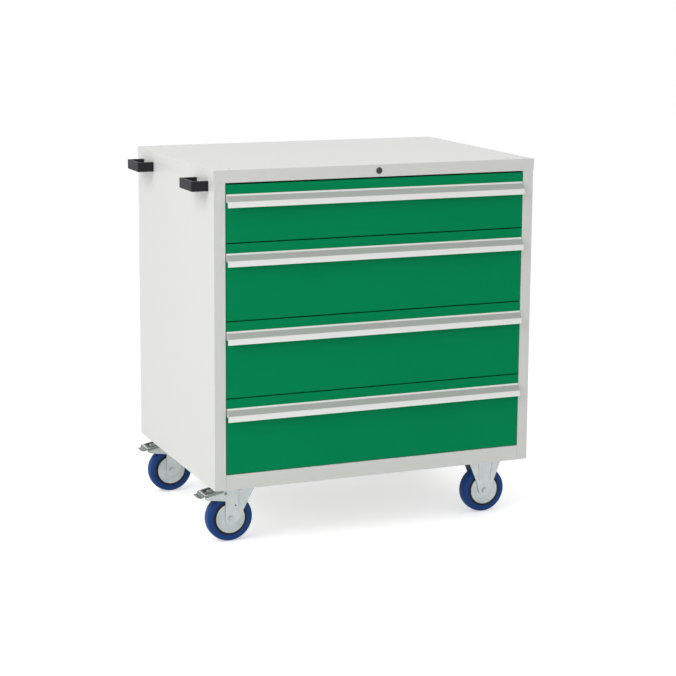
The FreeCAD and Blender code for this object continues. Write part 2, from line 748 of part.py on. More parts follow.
def brake_pedal(name, place):
    body = start(f"{name}_brake_pedal", **place)
    # arms between the cheeks and the tread, carried on one cross pin
    arm = sketch_on(body, "XZ", "0")
    loop(arm, [
        ("pedal_x - 5", "pedal_z - 5"), ("pedal_x + 5", "pedal_z - 5"), ("pedal_x + 5", "pedal_z + 3"),
        ("pedal_x - 9", "pedal_z + 8.6"), ("pedal_x - 9", "pedal_z - 2"),
    ])
    pad(arm, "2 * pedal_arm_half_width", middle=True)
    pin = sketch_on(body, "XZ", "-fork_out - 2")
    circle(pin, "pedal_x", "pedal_z", "pedal_pin_radius")
    pad(pin, "2 * fork_out + 4")
    # foot plate, sloping down to its bent tip
    plate_edge = sketch_on(body, "XZ", "0")
    loop(plate_edge, [
        ("pedal_x - 8", "pedal_z + 8"), ("pedal_x - 60", "pedal_z - 1.5"), ("pedal_x - 76", "pedal_z - 7.5"),
        ("pedal_x - 76", "pedal_z - 7.5 + pedal_sheet"), ("pedal_x - 60.5", "pedal_z - 1.5 + pedal_sheet"),
        ("pedal_x - 8", "pedal_z + 8 + pedal_sheet"),
    ])
    pad(plate_edge, "2 * pedal_half_width", middle=True)
    shaping = sketch_on(body, "XY", "pedal_z")
    rectangle(shaping, "pedal_x - 50", "pedal_x - 22", "-pedal_half_width + 9", "pedal_half_width - 9")
    for side in ("-1", "1"):
        loop(shaping, [
            ("pedal_x - 77", f"{side} * (pedal_half_width + 1)"), ("pedal_x - 60", f"{side} * (pedal_half_width + 1)"),
            ("pedal_x - 60", f"{side} * pedal_half_width"), ("pedal_x - 77", f"{side} * (pedal_half_width - 18)")])
    cut(shaping, "60")


def axle_parts(body, x, y):
    for low, high, radius in (
            ("-fork_out - axle_head_height", "-fork_out", "axle_head_radius"),
            ("-fork_out", "fork_out", "axle_radius"),
            ("fork_out", "fork_out + axle_head_height", "axle_head_radius")):
        part = sketch_on(body, "XZ", f"-({y}) - ({high})")
        circle(part, x, "wheel_radius", radius)
        pad(part, f"({high}) - ({low})")


def guards(body, x, y):
    for side in ("-1", "1"):
        for low, high, radius in (("guard_in", "guard_out", "guard_radius"),
                                  ("guard_out", "fork_half_width", "fork_round")):
            part = sketch_on(body, "XZ", f"-({y}) - ({high})" if side == "1" else f"-({y}) + {low}")
            circle(part, x, "wheel_radius", radius)
            circle(part, x, "wheel_radius", "axle_radius + pivot_clear")
            pad(part, f"({high}) - ({low})")


def wheel_parts(name, place, x):
    # both are turned about the axle, which runs along Y
    shift = {"x": f"{place['x']} + {x}", "y": place["y"], "z": "wheel_radius"}
    tyre = start(f"{name}_tyre", **shift)
    tread = sketch_on(tyre, "YZ")
    rectangle(tread, "-hub_half", "hub_half", "tyre_inner", "wheel_radius")
    turn(tread, "H_Axis")
    outer = number("wheel_radius")
    rounded(tyre, "tyre_round", lambda e: abs(e.BoundBox.ZMax - outer) < 0.01 and abs(e.BoundBox.YLength) < 0.01)

    core = start(f"{name}_wheel_core", **shift)
    section = sketch_on(core, "YZ")
    web, rim, hub = "core_web / 2", "rim_width / 2", "hub_half"
    loop(section, [
        (f"-{hub}", "wheel_bore"), (hub, "wheel_bore"), (hub, "hub_radius"), (web, "hub_radius"),
        (web, "rim_inner"), (rim, "rim_inner"), (rim, "tyre_inner"), (f"-{rim}", "tyre_inner"),
        (f"-{rim}", "rim_inner"), (f"-{web}", "rim_inner"), (f"-{web}", "hub_radius"), (f"-{hub}", "hub_radius"),
    ])
    turn(section, "H_Axis")


def fixed_castors():
    forks = start("fixed_castor_forks")
    axles = start("fixed_castor_axles")
    discs = start("fixed_castor_guards")
    for x, y in corners()[2:]:
        plate(forks, x, y)
        for side in ("-1", "1"):
            cheek(forks, x, y, side, [
                ("-47", "plate_z"), ("-47", "plate_z - 10"), ("-24", "wheel_radius + 22"),
                ("-13", "wheel_radius - 6"), ("13", "wheel_radius - 6"), ("26", "wheel_radius + 22"),
                ("47", "plate_z - 10"), ("47", "plate_z")])
        axle_hole(forks, x, y)
        axle_parts(axles, x, y)
        guards(discs, x, y)
    for name, end in (("front_right", "-1"), ("rear_right", "1")):
        wheel_parts(name, {"x": "castor_x", "y": f"{end} * castor_y"}, "0")


top_cover()
side_panel("left_side", "-1")
side_panel("right_side", "1")
back_panel()
base_tray()
castor_channels()
slide_uprights()
cabinet_runners()
for number_from_top in (1, 2, 3, 4):
    drawer(number_from_top)
lock()
push_handle("push_handle_front", "-1")
push_handle("push_handle_rear", "1")
handle_screws()
swivel_castor_plates()
castor_bolts()
swivel_castor("front_left", "-1")
swivel_castor("rear_left", "1")
fixed_castors()
doc.recompute()

for thing in doc.Objects:
    if "Invalid" in thing.State or "Error" in thing.State:
        raise RuntimeError(f"{thing.Label} is {thing.State}")
os.makedirs("parts", exist_ok=True)
for body in nodes:
    if body.Shape.isNull() or not body.Shape.isValid():
        raise RuntimeError(f"{body.Label} has no valid shape")
    body.Shape.exportStep(f"parts/{body.Label}.step")
print(len(nodes), "nodes")
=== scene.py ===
import json
import math

import bmesh
import bpy
from mathutils import Matrix, Vector

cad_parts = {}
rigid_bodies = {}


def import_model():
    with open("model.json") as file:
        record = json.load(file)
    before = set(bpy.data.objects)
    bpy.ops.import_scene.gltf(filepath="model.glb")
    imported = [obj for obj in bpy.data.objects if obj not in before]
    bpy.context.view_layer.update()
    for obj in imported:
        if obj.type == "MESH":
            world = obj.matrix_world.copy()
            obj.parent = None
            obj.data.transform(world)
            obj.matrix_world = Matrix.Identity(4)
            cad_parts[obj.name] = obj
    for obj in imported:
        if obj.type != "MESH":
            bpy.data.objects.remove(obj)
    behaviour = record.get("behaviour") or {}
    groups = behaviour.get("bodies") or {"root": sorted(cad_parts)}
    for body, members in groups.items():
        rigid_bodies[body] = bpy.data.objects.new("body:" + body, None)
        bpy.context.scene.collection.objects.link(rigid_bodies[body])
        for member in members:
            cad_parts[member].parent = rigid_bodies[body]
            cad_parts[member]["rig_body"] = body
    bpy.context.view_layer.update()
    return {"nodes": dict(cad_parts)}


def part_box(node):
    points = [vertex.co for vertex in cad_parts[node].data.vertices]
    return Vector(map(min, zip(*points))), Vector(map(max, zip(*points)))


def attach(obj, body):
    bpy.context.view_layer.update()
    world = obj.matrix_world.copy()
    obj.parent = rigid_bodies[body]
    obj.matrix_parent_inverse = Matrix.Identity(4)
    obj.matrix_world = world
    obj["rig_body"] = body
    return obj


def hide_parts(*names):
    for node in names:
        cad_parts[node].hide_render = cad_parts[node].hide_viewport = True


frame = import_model()
nodes = frame["nodes"]
scene = bpy.context.scene
scene.view_settings.view_transform = "Standard"
coverLow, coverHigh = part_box("top_cover")
middle = Vector(((coverLow.x + coverHigh.x) / 2, (coverLow.y + coverHigh.y) / 2, 0))
print("frame loaded with", len(nodes), "nodes")


# shader groups shared by the materials

relief = dict(patchScale=45.0, peelHeight=0.0004, grainHeight=0.0003)  # heights in metres


def newGroup(name, inputs, outputs):
    group = bpy.data.node_groups.new(name, "ShaderNodeTree")
    for title, kind, value in inputs:
        socket = group.interface.new_socket(name=title, in_out="INPUT", socket_type=kind)
        socket.default_value = value
    for title, kind in outputs:
        group.interface.new_socket(name=title, in_out="OUTPUT", socket_type=kind)
    return group, group.nodes.new("NodeGroupInput"), group.nodes.new("NodeGroupOutput")


def mathNode(tree, operation, first, second):
    node = tree.nodes.new("ShaderNodeMath")
    node.operation = operation
    for index, value in enumerate((first, second)):
        if isinstance(value, (int, float)):
            node.inputs[index].default_value = value
        else:
            tree.links.new(value, node.inputs[index])
    return node.outputs[0]


def noiseNode(tree, vector, scale, detail=3.0, roughness=0.5):
    node = tree.nodes.new("ShaderNodeTexNoise")
    node.inputs["Detail"].default_value = detail
    node.inputs["Roughness"].default_value = roughness
    tree.links.new(vector, node.inputs["Vector"])
    if isinstance(scale, (int, float)):
        node.inputs["Scale"].default_value = scale
    else:
        tree.links.new(scale, node.inputs["Scale"])
    return node.outputs["Fac"]


def makeMottleGroup():
    # slow change of tone over a surface, as handling and uneven coating give it
    group, given, made = newGroup(
        "mottle",
        [("Color", "NodeSocketColor", (0.5, 0.5, 0.5, 1)), ("Scale", "NodeSocketFloat", 4.0),
         ("Amount", "NodeSocketFloat", 0.05), ("Roughness", "NodeSocketFloat", 0.4),
         ("Roughness Change", "NodeSocketFloat", 0.06)],
        [("Color", "NodeSocketColor"), ("Roughness", "NodeSocketFloat")])
    place = group.nodes.new("ShaderNodeTexCoord").outputs["Object"]
    slow = noiseNode(group, place, given.outputs["Scale"], 4.0, 0.55)
    centred = mathNode(group, "SUBTRACT", slow, 0.5)
    tone = mathNode(group, "ADD", mathNode(group, "MULTIPLY", centred, given.outputs["Amount"]), 1.0)
    scaled = group.nodes.new("ShaderNodeVectorMath")
    scaled.operation = "SCALE"
    group.links.new(given.outputs["Color"], scaled.inputs[0])
    group.links.new(tone, scaled.inputs["Scale"])
    group.links.new(scaled.outputs[0], made.inputs["Color"])
    patches = mathNode(group, "SUBTRACT", noiseNode(group, place, relief["patchScale"], 2.0), 0.5)
    change = mathNode(group, "MULTIPLY", patches, given.outputs["Roughness Change"])
    group.links.new(mathNode(group, "ADD", given.outputs["Roughness"], change), made.inputs["Roughness"])
    return group


def makePeelGroup():
    # fine dimpled surface: powder coat, moulded plastic or rubber, by scale and depth
    group, given, made = newGroup(
        "peel",
        [("Scale", "NodeSocketFloat", 700.0), ("Depth", "NodeSocketFloat", 0.1)],
        [("Normal", "NodeSocketVector")])
    place = group.nodes.new("ShaderNodeTexCoord").outputs["Object"]
    bump = group.nodes.new("ShaderNodeBump")
    bump.inputs["Distance"].default_value = relief["peelHeight"]
    group.links.new(given.outputs["Depth"], bump.inputs["Strength"])
    group.links.new(noiseNode(group, place, given.outputs["Scale"], 2.0), bump.inputs["Height"])
    group.links.new(bump.outputs["Normal"], made.inputs["Normal"])
    return group


def makeGrainGroup():
    # drawn or brushed metal: streaks stretched along one direction
    group, given, made = newGroup(
        "grain",
        [("Stretch", "NodeSocketVector", (4.0, 400.0, 400.0)), ("Depth", "NodeSocketFloat", 0.1),
         ("Roughness", "NodeSocketFloat", 0.35), ("Roughness Change", "NodeSocketFloat", 0.15)],
        [("Streaks", "NodeSocketFloat"), ("Roughness", "NodeSocketFloat"), ("Normal", "NodeSocketVector")])
    place = group.nodes.new("ShaderNodeTexCoord").outputs["Object"]
    stretched = group.nodes.new("ShaderNodeVectorMath")
    stretched.operation = "MULTIPLY"
    group.links.new(place, stretched.inputs[0])
    group.links.new(given.outputs["Stretch"], stretched.inputs[1])
    streaks = noiseNode(group, stretched.outputs[0], 1.0, 3.0, 0.6)
    group.links.new(streaks, made.inputs["Streaks"])
    centred = mathNode(group, "SUBTRACT", streaks, 0.5)
    change = mathNode(group, "MULTIPLY", centred, given.outputs["Roughness Change"])
    group.links.new(mathNode(group, "ADD", given.outputs["Roughness"], change), made.inputs["Roughness"])
    bump = group.nodes.new("ShaderNodeBump")
    bump.inputs["Distance"].default_value = relief["grainHeight"]
    group.links.new(given.outputs["Depth"], bump.inputs["Strength"])
    group.links.new(streaks, bump.inputs["Height"])
    group.links.new(bump.outputs["Normal"], made.inputs["Normal"])
    return group


mottleGroup = makeMottleGroup()
peelGroup = makePeelGroup()
grainGroup = makeGrainGroup()


def newMaterial(name):
    material = bpy.data.materials.new(name)
    material.use_nodes = True
    return material, material.node_tree, material.node_tree.nodes["Principled BSDF"]


def placeGroup(tree, group, **values):
    node = tree.nodes.new("ShaderNodeGroup")
    node.node_tree = group
    for title, value in values.items():
        node.inputs[title.replace("_", " ")].default_value = value
    return node


def coatedMaterial(name, look):
    # paint, plastic and rubber
    material, tree, shader = newMaterial(name)
    mottle = placeGroup(tree, mottleGroup, Color=(*look["color"], 1), Scale=look["mottleScale"],
                        Amount=look["mottle"], Roughness=look["roughness"],
                        Roughness_Change=look["roughnessChange"])
    peel = placeGroup(tree, peelGroup, Scale=look["peelScale"], Depth=look["peel"])
    tree.links.new(mottle.outputs["Color"], shader.inputs["Base Color"])
    tree.links.new(mottle.outputs["Roughness"], shader.inputs["Roughness"])
    tree.links.new(peel.outputs["Normal"], shader.inputs["Normal"])
    shader.inputs["Coat Weight"].default_value = look.get("coat", 0.0)
    shader.inputs["Coat Roughness"].default_value = look.get("coatRoughness", 0.2)
    shader.inputs["Specular IOR Level"].default_value = look.get("specular", 0.5)
    return material


def metalMaterial(name, look):
    # zinc, steel and aluminium
    material, tree, shader = newMaterial(name)
    grain = placeGroup(tree, grainGroup, Stretch=look["stretch"], Depth=look["grain"],
                       Roughness=look["roughness"], Roughness_Change=look["roughnessChange"])
    mottle = placeGroup(tree, mottleGroup, Color=(*look["color"], 1), Scale=look["mottleScale"],
                        Amount=look["mottle"])
    tree.links.new(mottle.outputs["Color"], shader.inputs["Base Color"])
    tree.links.new(grain.outputs["Roughness"], shader.inputs["Roughness"])
    tree.links.new(grain.outputs["Normal"], shader.inputs["Normal"])
    shader.inputs["Metallic"].default_value = look["metallic"]
    return material


coatedLooks = {
    "carcassPaint": dict(color=(0.735, 0.742, 0.710), roughness=0.40, roughnessChange=0.06, mottle=0.03,
                         mottleScale=3.0, peel=0.10, peelScale=900.0),
    "greenPaint": dict(color=(0.0, 0.262, 0.093), roughness=0.50, roughnessChange=0.06, mottle=0.10,
                       mottleScale=5.0, peel=0.10, peelScale=900.0, specular=0.04),
    "blackPlastic": dict(color=(0.014, 0.013, 0.017), roughness=0.55, roughnessChange=0.1, mottle=0.2,
                         mottleScale=30.0, peel=0.35, peelScale=1500.0, specular=0.22),
    "lockBlack": dict(color=(0.010, 0.010, 0.012), roughness=0.25, roughnessChange=0.05, mottle=0.1,
                      mottleScale=80.0, peel=0.05, peelScale=1500.0, coat=0.4),
    "blackNylon": dict(color=(0.016, 0.014, 0.014), roughness=0.5, roughnessChange=0.1, mottle=0.2,
                       mottleScale=40.0, peel=0.2, peelScale=1200.0, specular=0.2),
    "blueRubber": dict(color=(0.006, 0.052, 0.215), roughness=0.55, roughnessChange=0.12, mottle=0.25,
                       mottleScale=25.0, peel=0.25, peelScale=900.0, specular=0.22),
    "labelStrip": dict(color=(0.42, 0.44, 0.415), roughness=0.22, roughnessChange=0.05, mottle=0.05,
                       mottleScale=14.0, peel=0.04, peelScale=300.0, coat=0.3),
}
metalLooks = {
    "galvanised": dict(color=(0.55, 0.57, 0.57), roughness=0.42, roughnessChange=0.2, metallic=0.85,
                       mottle=0.2, mottleScale=40.0, grain=0.08, stretch=(60.0, 60.0, 60.0)),
    "castorZinc": dict(color=(0.54, 0.575, 0.575), roughness=0.36, roughnessChange=0.2, metallic=0.75,
                       mottle=0.35, mottleScale=38.0, grain=0.10, stretch=(150.0, 150.0, 150.0)),
    "discZinc": dict(color=(0.47, 0.515, 0.52), roughness=0.36, roughnessChange=0.25, metallic=0.8,
                     mottle=0.55, mottleScale=55.0, grain=0.12, stretch=(120.0, 120.0, 120.0)),
    # bright zinc, much lighter than the pedal plate's: a painted highlight for the pedal's raised bars
    "highlightZinc": dict(color=(0.80, 0.83, 0.82), roughness=0.30, roughnessChange=0.15, metallic=0.5,
                     mottle=0.15, mottleScale=60.0, grain=0.06, stretch=(150.0, 150.0, 150.0)),
    "rivetSteel": dict(color=(0.13, 0.135, 0.14), roughness=0.4, roughnessChange=0.2, metallic=0.7,
                       mottle=0.3, mottleScale=90.0, grain=0.06, stretch=(200.0, 200.0, 200.0)),
    # dark zinc for the pedal plate: a painted dark reflection, the shaded copy of the pedal's zinc
    "darkReflectionZinc": dict(color=(0.20, 0.235, 0.215), roughness=0.26, roughnessChange=0.15, metallic=0.9,
                      mottle=0.5, mottleScale=60.0, grain=0.10, stretch=(150.0, 150.0, 150.0)),
    "boltZinc": dict(color=(0.50, 0.53, 0.54), roughness=0.3, roughnessChange=0.15, metallic=0.9,
                     mottle=0.1, mottleScale=60.0, grain=0.08, stretch=(200.0, 200.0, 200.0)),
    "pullAluminium": dict(color=(0.80, 0.81, 0.79), roughness=0.36, roughnessChange=0.12, metallic=0.45,
                          mottle=0.04, mottleScale=6.0, grain=0.10, stretch=(3.0, 900.0, 900.0)),
}
materials = {name: coatedMaterial(name, look) for name, look in coatedLooks.items()}
materials.update({name: metalMaterial(name, look) for name, look in metalLooks.items()})
print("materials made:", len(materials))


# which finish each CAD node has

finishes = {
    "carcassPaint": ["top_cover", "left_side", "right_side", "back_panel", "base_tray"],
    "galvanised": ["castor_channels", "slide_uprights", "cabinet_runners", "lock_rod", "locking_bar"],
    "blackPlastic": ["push_handle_front", "push_handle_rear"],
    "boltZinc": ["handle_screws", "castor_bolts", "fixed_castor_axles"],
    "castorZinc": ["lock_housing", "swivel_castor_plates", "fixed_castor_forks"],
    "discZinc": ["fixed_castor_guards"],
    "lockBlack": ["lock_barrel"],
    "greenPaint": [], "pullAluminium": [], "labelStrip": [], "darkReflectionZinc": [], "blueRubber": [],
    "blackNylon": [],
}
for drawer in range(1, 5):
    finishes["greenPaint"].append(f"drawer_{drawer}_front")
    finishes["pullAluminium"].append(f"drawer_{drawer}_handle")
    finishes["labelStrip"].append(f"drawer_{drawer}_label_strip")
    finishes["galvanised"] += [f"drawer_{drawer}_{part}" for part in ("box", "runners", "mid_runners")]
for castor in ("front_left", "rear_left", "front_right", "rear_right"):
    finishes["blueRubber"].append(f"{castor}_tyre")
    finishes["blackNylon"].append(f"{castor}_wheel_core")
for castor in ("front_left", "rear_left"):
    finishes["castorZinc"].append(f"{castor}_fork")
    finishes["discZinc"].append(f"{castor}_guards")
    finishes["darkReflectionZinc"].append(f"{castor}_brake_pedal")
    finishes["boltZinc"].append(f"{castor}_axle")

for finish, names in finishes.items():
    for name in names:
        nodes[name].data.materials.clear()
        nodes[name].data.materials.append(materials[finish])
finishOf = {name: finish for finish, names in finishes.items() for name in names}
bodyOf = {name: nodes[name]["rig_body"] for name in nodes}
print("CAD nodes finished")


# tools for making pieces

def bevelEdges(bm, width, angle=40):
    edges = [e for e in bm.edges if len(e.link_faces) == 2 and e.calc_face_angle() > math.radians(angle)]
    bmesh.ops.bevel(bm, geom=edges, offset=width, affect="EDGES", segments=2, profile=0.5,
                    material=-1, clamp_overlap=True)


def roundCorners(bm, corners, width, segments):
    bmesh.ops.bevel(bm, geom=corners, offset=width, affect="VERTICES", segments=segments,
                    profile=0.5, material=-1)


def rotated(part, degrees, axis):
    turn = Matrix.Rotation(math.radians(degrees), 3, axis)
    bmesh.ops.rotate(part, verts=part.verts, cent=(0, 0, 0), matrix=turn)
    return part


def onSide(side, inner, outer):
    # the span between two distances from the middle plane, on its side -1 or 1, lowest first
    return sorted((side * inner, side * outer))


def joinInto(bm, part, place):
    # adds a finished part to a piece
    bmesh.ops.translate(part, verts=part.verts, vec=place)
    mesh = bpy.data.meshes.new("part")
    part.to_mesh(mesh)
    part.free()
    bm.from_mesh(mesh)
    bpy.data.meshes.remove(mesh)


def finishPiece(bm, name, standsFor, finish=None, smoothAngle=35):
    # standsFor names the CAD node that the piece replaces, whose body it rides on
    bmesh.ops.recalc_face_normals(bm, faces=bm.faces)
    for face in bm.faces:
        face.smooth = True
    mesh = bpy.data.meshes.new(name)
    bm.to_mesh(mesh)
    bm.free()
    mesh.set_sharp_from_angle(angle=math.radians(smoothAngle))
    finish = finish or finishOf[standsFor]
    mesh.materials.append(materials[finish])
    piece = bpy.data.objects.new(name, mesh)
    scene.collection.objects.link(piece)
    flat = piece.modifiers.new("flatFaces", "WEIGHTED_NORMAL")
    flat.keep_sharp = True
    flat.weight = 90
    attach(piece, bodyOf[standsFor])
    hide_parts(standsFor)


def platePart(outline, near, far, edge, corner=0.0, wide=(), wideCorner=0.0):
    # a flat plate drawn in X and Z, from y near to y far; the corners listed in wide get wideCorner
    bm = bmesh.new()
    corners = [bm.verts.new((x, near, z)) for x, z in outline]
    bm.faces.new(corners)
    if wide:
        roundCorners(bm, [corners[i] for i in wide], wideCorner, 10)
        corners = [c for i, c in enumerate(corners) if i not in wide]
    if corner:
        roundCorners(bm, corners, corner, 4)
    grown = bmesh.ops.extrude_face_region(bm, geom=bm.faces[:])
    moved = [item for item in grown["geom"] if isinstance(item, bmesh.types.BMVert)]
    bmesh.ops.translate(bm, verts=moved, vec=(0, far - near, 0))
    bmesh.ops.recalc_face_normals(bm, faces=bm.faces)
    if edge:
        bevelEdges(bm, edge, angle=60)
    return bm


def lathePart(profile, steps, axis="Y"):
    # a closed section of (along, radius) pairs turned about an axis through the origin
    bm = bmesh.new()
    corners = [bm.verts.new((0, along, radius)) for along, radius in profile]
    sides = [bm.edges.new(pair) for pair in zip(corners, corners[1:] + corners[:1])]
    bmesh.ops.spin(bm, geom=corners + sides, cent=(0, 0, 0), axis=(0, 1, 0), angle=math.tau,
                   steps=steps, use_merge=True)
    bmesh.ops.recalc_face_normals(bm, faces=bm.faces)
    return rotated(bm, 90, "X") if axis == "Z" else bm


def headPart(radius, low, high, sides, axis="Y", edge=0.0006):
    # bolt head, nut, washer or shank
    bm = bmesh.new()
    bmesh.ops.create_cone(bm, cap_ends=True, segments=sides, radius1=radius, radius2=radius,
                          depth=high - low)
    bevelEdges(bm, edge, angle=50)
    if axis == "Y":
        rotated(bm, 90, "X")
    centre = (low + high) / 2
    bmesh.ops.translate(bm, verts=bm.verts, vec=(0, centre, 0) if axis == "Y" else (0, 0, centre))
    return bm


# pieces that keep the CAD shape: faces joined, and each fold rounded by the radius given here

folds = {
    "top_cover": 0.0009, "left_side": 0.0009, "right_side": 0.0009, "back_panel": 0.0005,
    "base_tray": 0.0006, "castor_channels": 0.0006, "slide_uprights": 0.0005,
    "cabinet_runners": 0.0004, "locking_bar": 0.0004, "lock_rod": 0.0003,
    "swivel_castor_plates": 0.0006, "lock_housing": 0.0003,
}
drawerFolds = {"front": 0.0005, "handle": 0.0004, "label_strip": 0.0002, "runners": 0.0004,
               "mid_runners": 0.0004}
for drawer in range(1, 5):
    for part, width in drawerFolds.items():
        folds[f"drawer_{drawer}_{part}"] = width


def foldedCopy(name, width):
    bm = bmesh.new()
    bm.from_mesh(nodes[name].data)
    bmesh.ops.remove_doubles(bm, verts=bm.verts, dist=0.00001)
    bmesh.ops.dissolve_limit(bm, angle_limit=math.radians(1), verts=bm.verts, edges=bm.edges)
    bevelEdges(bm, width)
    finishPiece(bm, "shown_" + name, name)


for name, width in folds.items():
    foldedCopy(name, width)
print("sheet pieces folded:", len(folds))


# drawer boxes with slots for dividers

drawerBox = dict(sheet=0.001, rim=0.006, edge=0.0003, slotWide=0.005, slotEvery=0.050, slotMargin=0.050,
                 slotLow=0.016, slotHigh=0.018, catchReach=0.008, catchWidth=0.030, catchLow=0.060,
                 catchHeight=0.012)


def slottedSheet(length, rows, slots):
    # an upright sheet along X with its lower left corner at the origin and one row of upright slots
    slotWide = drawerBox["slotWide"]
    columns = [0.0]
    for index in range(slots):
        spot = length / 2 + (index - (slots - 1) / 2) * drawerBox["slotEvery"]
        columns += [spot - slotWide / 2, spot + slotWide / 2]
    columns.append(length)
    sheet = bmesh.new()
    bmesh.ops.create_grid(sheet, x_segments=len(columns) - 1, y_segments=len(rows) - 1, size=1)
    for vert in sheet.verts:
        column = round((vert.co.x + 1) / 2 * (len(columns) - 1))
        row = round((vert.co.y + 1) / 2 * (len(rows) - 1))
        vert.co = Vector((columns[column], 0, rows[row]))
    openings = []  # the narrow faces of the middle row
    for face in sheet.faces:
        width = max(v.co.x for v in face.verts) - min(v.co.x for v in face.verts)
        if width < slotWide * 1.1 and rows[1] < face.calc_center_median().z < rows[2]:
            openings.append(face)
    bmesh.ops.delete(sheet, geom=openings, context="FACES")
    bmesh.ops.recalc_face_normals(sheet, faces=sheet.faces)
    bmesh.ops.solidify(sheet, geom=sheet.faces[:], thickness=drawerBox["sheet"])
    nearest = min(v.co.y for v in sheet.verts)
    bmesh.ops.translate(sheet, verts=sheet.verts, vec=(0, -nearest, 0))
    bmesh.ops.recalc_face_normals(sheet, faces=sheet.faces)
    return sheet


def barPart(low, high, edge):
    # a straight strip between two corners
    outline = [(low[0], low[2]), (high[0], low[2]), (high[0], high[2]), (low[0], high[2])]
    return platePart(outline, low[1], high[1], edge)


def slotCount(length):
    return int((length - 2 * drawerBox["slotMargin"]) / drawerBox["slotEvery"]) + 1


def makeDrawerBox(name):
    low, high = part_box(name)
    sheet, rim, edge = (drawerBox[key] for key in ("sheet", "rim", "edge"))
    back = high.y - drawerBox["catchReach"]
    floor = low.z
    width, depth, height = high.x - low.x - 2 * sheet, back - low.y, high.z - floor
    rows = (0, drawerBox["slotLow"], height - drawerBox["slotHigh"], height - sheet)
    bm = bmesh.new()
    joinInto(bm, slottedSheet(width, rows, slotCount(width)), (low.x + sheet, back - sheet, floor))
    joinInto(bm, slottedSheet(width, rows, 0), (low.x + sheet, low.y, floor))
    for x in (low.x + sheet, high.x):
        joinInto(bm, rotated(slottedSheet(depth, rows, slotCount(depth)), 90, "Z"), (x, low.y, floor))
    strips = [((low.x + sheet, low.y + sheet, floor), (high.x - sheet, back - sheet, floor + sheet), 0)]
    for x0, x1 in ((low.x, low.x + rim), (high.x - rim, high.x)):
        strips.append(((x0, low.y, high.z - sheet), (x1, back, high.z), edge))
    for y0, y1 in ((low.y, low.y + rim), (back - rim, back)):
        strips.append(((low.x + rim, y0, high.z - sheet), (high.x - rim, y1, high.z), edge))
    # the angle at the back that the locking bar catches
    catchLow = floor + drawerBox["catchLow"]
    catchTop = catchLow + drawerBox["catchHeight"]
    left, right = middle.x - drawerBox["catchWidth"] / 2, middle.x + drawerBox["catchWidth"] / 2
    strips.append(((left, back, catchTop - sheet), (right, high.y, catchTop), 0))
    strips.append(((left, high.y - sheet, catchLow), (right, high.y, catchTop - sheet), 0))
    for start, end, rounding in strips:
        joinInto(bm, barPart(start, end, rounding), (0, 0, 0))
    finishPiece(bm, "shown_" + name, name)


for drawer in range(1, 5):
    makeDrawerBox(f"drawer_{drawer}_box")
print("drawer boxes made")


# wheels

wheel = dict(
    radius=0.0625, along=0.350, across=0.252, trail=0.0385, tyreSteps=128, coreSteps=96,
    # half sections from the outer side to the middle, as (along the axle, radius)
    tyre=[(0.0140, 0.0455), (0.0158, 0.0457), (0.0166, 0.0468), (0.0168, 0.0490), (0.0173, 0.0496),
          (0.0173, 0.0506), (0.0168, 0.0512), (0.0169, 0.0545), (0.0163, 0.0574), (0.0146, 0.0597),
          (0.0118, 0.0614), (0.0080, 0.0622), (0.0040, 0.0625)],
    core=[(0.0172, 0.0051), (0.0172, 0.0130), (0.0165, 0.0140), (0.0060, 0.0155), (0.0042, 0.0180),
          (0.0042, 0.0370), (0.0060, 0.0384), (0.0152, 0.0390), (0.0162, 0.0398), (0.0164, 0.0410),
          (0.0164, 0.0444), (0.0160, 0.0454)])
castors = {}
for name in ("front_left", "rear_left", "front_right", "rear_right"):
    x = -wheel["along"] - wheel["trail"] if name.endswith("left") else wheel["along"]
    y = -wheel["across"] if name.startswith("front") else wheel["across"]
    castors[name] = middle + Vector((x, y, wheel["radius"]))


def bothSides(halfSection):
    return halfSection + [(-along, radius) for along, radius in reversed(halfSection)]


def makeWheel(name, place):
    bm = bmesh.new()
    joinInto(bm, lathePart(bothSides(wheel["tyre"]), wheel["tyreSteps"]), place)
    finishPiece(bm, f"shown_{name}_tyre", f"{name}_tyre", smoothAngle=50)
    bm = bmesh.new()
    joinInto(bm, lathePart(bothSides(wheel["core"]), wheel["coreSteps"]), place)
    finishPiece(bm, f"shown_{name}_wheel_core", f"{name}_wheel_core")


# axles, and the pressed discs that keep thread out of the hubs

axle = dict(radius=0.005, end=0.0220, washerRadius=0.0086, washerEnd=0.0236, nutRadius=0.0074,
            nutEnd=0.0265, washerEdge=0.0004)
guard = dict(steps=96, section=[
    (0.0184, 0.0055), (0.0195, 0.0055), (0.0195, 0.0140), (0.0191, 0.0160), (0.0190, 0.0240),
    (0.0193, 0.0250), (0.0193, 0.0262), (0.0189, 0.0272), (0.0186, 0.0350), (0.0183, 0.0378),
    (0.0178, 0.0392), (0.0174, 0.0394), (0.0174, 0.0384), (0.0176, 0.0350), (0.0179, 0.0270)])


def guardPart(side):
    return lathePart([(side * along, radius) for along, radius in guard["section"]], guard["steps"])


def addAxle(bm, place):
    joinInto(bm, headPart(axle["radius"], -axle["end"], axle["end"], 32), place)
    for side in (-1, 1):
        near, far = onSide(side, axle["end"], axle["washerEnd"])
        joinInto(bm, headPart(axle["washerRadius"], near, far, 40, edge=axle["washerEdge"]), place)
        near, far = onSide(side, axle["washerEnd"], axle["nutEnd"])
        joinInto(bm, headPart(axle["nutRadius"], near, far, 6), place)


def rivetPart(radius, near, far):
    return headPart(radius, near, far, 28, edge=radius * 0.45)


# forks of the swivel castors: outlines as (x from the axle, height above the floor)

